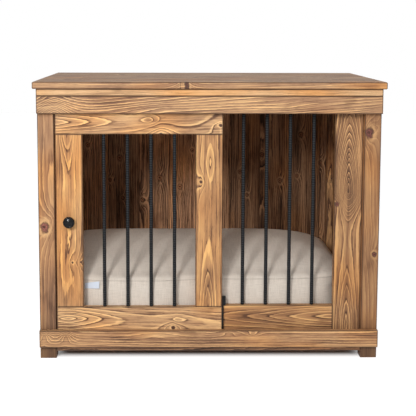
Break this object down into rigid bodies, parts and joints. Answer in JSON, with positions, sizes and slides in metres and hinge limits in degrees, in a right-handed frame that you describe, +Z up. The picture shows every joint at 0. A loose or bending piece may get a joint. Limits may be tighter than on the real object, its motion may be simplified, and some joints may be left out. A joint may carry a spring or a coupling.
{
  "type": "pet crate",
  "caption": "Stained pine pet crate that doubles as a side table, with boarded walls, a barred sliding door beside a fixed barred grille, and a linen cushion on its floor.",
  "frame": {"origin": "on the ground under the middle of the table top, the bottom centre of the box around the crate", "axes": "+X to the right along the front, +Y from the front to the back wall, +Z up"},
  "size_m": [1, 0.66, 0.805],
  "materials": {
    "stained_pine": "brushed, stained mid brown and waxed",
    "beech": "planed and waxed",
    "black_steel": "matt black lacquer",
    "black_iron": "satin black powder coat",
    "black_plastic": "matt",
    "zinc_steel": "zinc plated",
    "linen": "woven linen, plain weave, flat topstitched seam"
  },
  "bodies": {
    "crate": {"back_board_1": "stained_pine", "back_board_2": "stained_pine", "back_board_3": "stained_pine", "back_board_4": "stained_pine", "back_board_5": "stained_pine", "back_board_6": "stained_pine", "back_board_7": "stained_pine", "back_board_8": "stained_pine", "back_board_9": "stained_pine", "carcass_tenons": "beech", "cushion": "linen", "door_runner": "beech", "floor_boards": "stained_pine", "front_bearer": "stained_pine", "front_bottom_rail": "stained_pine", "front_left_post": "stained_pine", "front_right_post": "stained_pine", "front_top_rail": "stained_pine", "grille_bar_1": "black_steel", "grille_bar_2": "black_steel", "grille_bar_3": "black_steel", "grille_bar_4": "black_steel", "grille_bottom_rail": "stained_pine", "grille_end_stile": "stained_pine", "grille_middle_stile": "stained_pine", "grille_tenons": "beech", "grille_top_rail": "stained_pine", "left_bottom_rail": "stained_pine", "left_top_rail": "stained_pine", "left_wall_boards": "stained_pine", "magnetic_catch": "black_plastic", "middle_bearer": "stained_pine", "rear_bearer": "stained_pine", "rear_left_cleat": "stained_pine", "rear_left_post": "stained_pine", "rear_right_cleat": "stained_pine", "rear_right_post": "stained_pine", "rear_top_rail": "stained_pine", "right_bottom_rail": "stained_pine", "right_top_rail": "stained_pine", "right_wall_boards": "stained_pine", "roof_panel": "stained_pine", "table_top": "stained_pine"},
    "door": {"door_bar_1": "black_steel", "door_bar_2": "black_steel", "door_bar_3": "black_steel", "door_bar_4": "black_steel", "door_bottom_rail": "stained_pine", "door_knob": "black_iron", "door_left_stile": "stained_pine", "door_right_stile": "stained_pine", "door_tenons": "beech", "door_top_rail": "stained_pine", "knob_screw": "zinc_steel", "strike_plate": "black_steel"}
  },
  "joints": [
    {"name": "door_slide", "type": "slide", "parent": "crate", "child": "door", "axis": [1, 0, 0], "range_m": [0, 0.39]}
  ]
}
